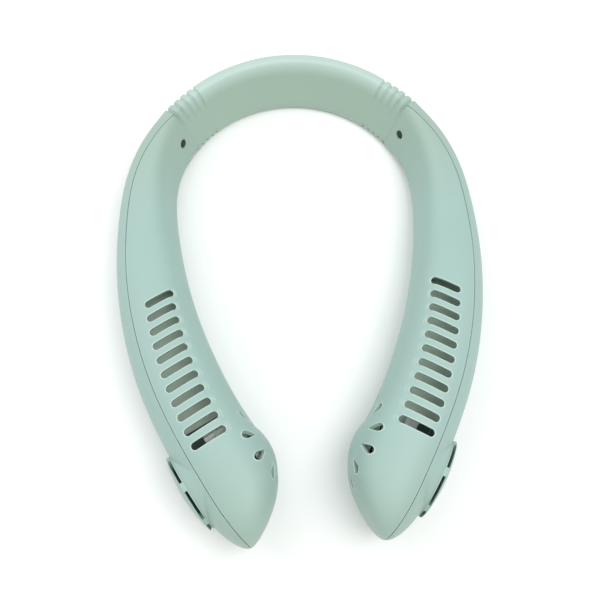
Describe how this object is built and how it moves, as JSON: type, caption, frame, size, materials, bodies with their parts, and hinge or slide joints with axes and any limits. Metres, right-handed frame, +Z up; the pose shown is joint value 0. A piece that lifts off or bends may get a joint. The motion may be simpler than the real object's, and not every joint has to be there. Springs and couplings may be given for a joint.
{
  "type": "neck fan",
  "caption": "Hanging neck fan: a soft bowed band with ribbed bending sleeves joins two hollow arms with air outlets, each with an impeller in its front end.",
  "frame": {"origin": "under the middle of the outline, on the surface that the fan lies on", "axes": "+Z up, out of the air outlets; +Y to the nape band; +X to the arm that holds the controls"},
  "size_m": [0.1926, 0.2666, 0.055],
  "materials": {
    "shell": "satin",
    "cap": "satin",
    "soft_band": "matt",
    "soft_sleeve": "matt",
    "inner_plastic": "satin",
    "impeller_plastic": "satin",
    "screw_steel": "blackened",
    "spring_steel": "rolled",
    "cable_jacket": "matt",
    "motor_iron": "laminated",
    "motor_steel": "turned",
    "bearing_brass": "turned",
    "cell_wrap": "shrink sleeve",
    "board": "solder mask",
    "chip_plastic": "moulded",
    "socket_steel": "plated",
    "light_guide": "frosted",
    "button": "satin"
  },
  "bodies": {
    "band": {"neck_band": "soft_band", "left_sleeve": "soft_sleeve", "right_sleeve": "soft_sleeve", "spring_strip": "spring_steel", "link_cable": "cable_jacket"},
    "left_arm": {"left_inner_cover": "shell", "left_outer_cover": "shell", "left_intake_cap": "cap", "left_band_anchor": "inner_plastic", "left_anchor_screw": "screw_steel", "left_cover_screws": "screw_steel", "left_motor_plate": "inner_plastic", "left_motor_screws": "screw_steel", "left_motor_stator": "motor_iron", "left_motor_bush": "bearing_brass", "left_battery": "cell_wrap", "left_battery_cradle": "inner_plastic", "left_duct_wall": "inner_plastic"},
    "right_arm": {"right_inner_cover": "shell", "right_outer_cover": "shell", "right_intake_cap": "cap", "right_band_anchor": "inner_plastic", "right_anchor_screw": "screw_steel", "right_cover_screws": "screw_steel", "right_motor_plate": "inner_plastic", "right_motor_screws": "screw_steel", "right_motor_stator": "motor_iron", "right_motor_bush": "bearing_brass", "right_battery": "cell_wrap", "right_battery_cradle": "inner_plastic", "right_duct_wall": "inner_plastic", "control_board": "board", "board_components": "chip_plastic", "charging_socket": "socket_steel", "tact_switch": "chip_plastic", "light_guide": "light_guide"},
    "left_fan": {"left_impeller": "impeller_plastic", "left_rotor_can": "motor_steel", "left_motor_shaft": "motor_steel"},
    "right_fan": {"right_impeller": "impeller_plastic", "right_rotor_can": "motor_steel", "right_motor_shaft": "motor_steel"},
    "power_button": {"power_button": "button"}
  },
  "joints": [
    {"name": "left_flex", "type": "hinge", "parent": "band", "child": "left_arm", "pos_m": [-0.05532, 0.10134, 0], "axis": [0, 0, -1], "range_deg": [-3, 15], "stiffness_Nm_per_rad": 0.5, "deforming": ["left_sleeve", "spring_strip", "link_cable"]},
    {"name": "left_spin", "type": "hinge", "parent": "left_arm", "child": "left_fan", "pos_m": [-0.04188, -0.09461, 0.02722], "axis": [-0.8652, -0.5015, 0], "continuous": true},
    {"name": "right_flex", "type": "hinge", "parent": "band", "child": "right_arm", "pos_m": [0.05532, 0.10134, 0], "axis": [0, 0, 1], "range_deg": [-3, 15], "stiffness_Nm_per_rad": 0.5, "deforming": ["right_sleeve", "spring_strip", "link_cable"]},
    {"name": "right_spin", "type": "hinge", "parent": "right_arm", "child": "right_fan", "pos_m": [0.04188, -0.09461, 0.02722], "axis": [0.8652, -0.5015, 0], "continuous": true},
    {"name": "button_press", "type": "slide", "parent": "right_arm", "child": "power_button", "axis": [-0.9562, 0.2927, 0], "range_m": [0, 0.0006], "stiffness_N_per_m": 1500}
  ]
}
